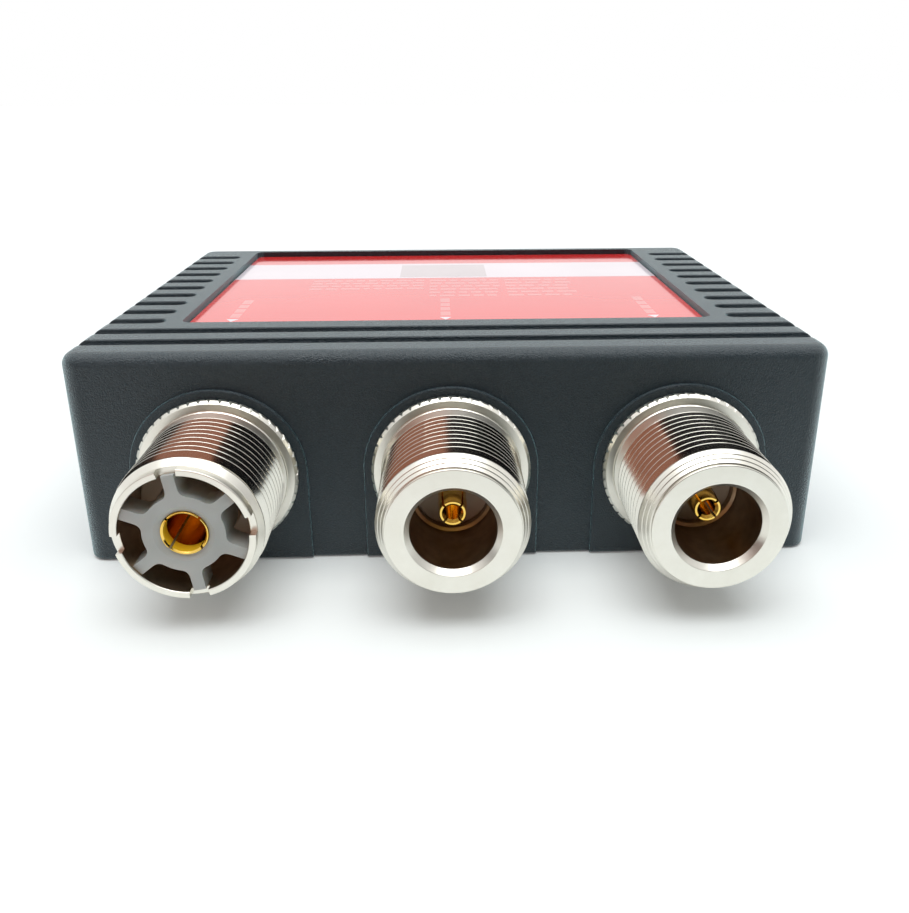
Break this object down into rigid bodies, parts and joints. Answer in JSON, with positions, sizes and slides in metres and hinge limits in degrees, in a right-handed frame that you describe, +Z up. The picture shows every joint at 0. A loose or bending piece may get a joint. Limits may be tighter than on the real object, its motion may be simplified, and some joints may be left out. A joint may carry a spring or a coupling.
{
  "type": "rf triplexer",
  "caption": "Flat die-cast radio-frequency triplexer box with a fluted top, a sunk label plate, one UHF and two N sockets in front and a common N socket behind.",
  "frame": {"origin": "middle of the whole part's underside, on the base plate's outer face", "axes": "+Z up out of the fluted top, -Y out of the face with three ports, +X to the right as seen from that face"},
  "size_m": [0.0864, 0.0936, 0.0256],
  "materials": {
    "black_powder_coat": "satin",
    "red_label": "gloss",
    "bright_nickel": "polished",
    "gold_plate": "polished",
    "white_insulator": "matte",
    "grey_insulator": "matte",
    "plated_steel": "satin",
    "green_laminate": "satin",
    "copper_wire": "satin",
    "brown_ceramic": "matte"
  },
  "bodies": {
    "root": {"housing": "black_powder_coat", "base_plate": "black_powder_coat", "base_screw_1": "plated_steel", "base_screw_2": "plated_steel", "base_screw_3": "plated_steel", "base_screw_4": "plated_steel", "label": "red_label", "uhf_port_shell": "bright_nickel", "uhf_port_insulator": "grey_insulator", "uhf_port_contact": "gold_plate", "uhf_port_nut": "plated_steel", "uhf_port_washer": "plated_steel", "middle_n_port_shell": "bright_nickel", "middle_n_port_insulator": "white_insulator", "middle_n_port_contact": "gold_plate", "middle_n_port_nut": "plated_steel", "middle_n_port_washer": "plated_steel", "right_n_port_shell": "bright_nickel", "right_n_port_insulator": "white_insulator", "right_n_port_contact": "gold_plate", "right_n_port_nut": "plated_steel", "right_n_port_washer": "plated_steel", "common_n_port_shell": "bright_nickel", "common_n_port_insulator": "white_insulator", "common_n_port_contact": "gold_plate", "common_n_port_nut": "plated_steel", "common_n_port_washer": "plated_steel", "circuit_board": "green_laminate", "board_screw_1": "plated_steel", "board_screw_2": "plated_steel", "board_screw_3": "plated_steel", "board_screw_4": "plated_steel", "coil_1": "copper_wire", "coil_2": "copper_wire", "coil_3": "copper_wire", "coil_4": "copper_wire", "capacitor_1": "brown_ceramic", "capacitor_2": "brown_ceramic", "capacitor_3": "brown_ceramic", "capacitor_4": "brown_ceramic", "capacitor_5": "brown_ceramic", "capacitor_6": "brown_ceramic"}
  },
  "joints": []
}
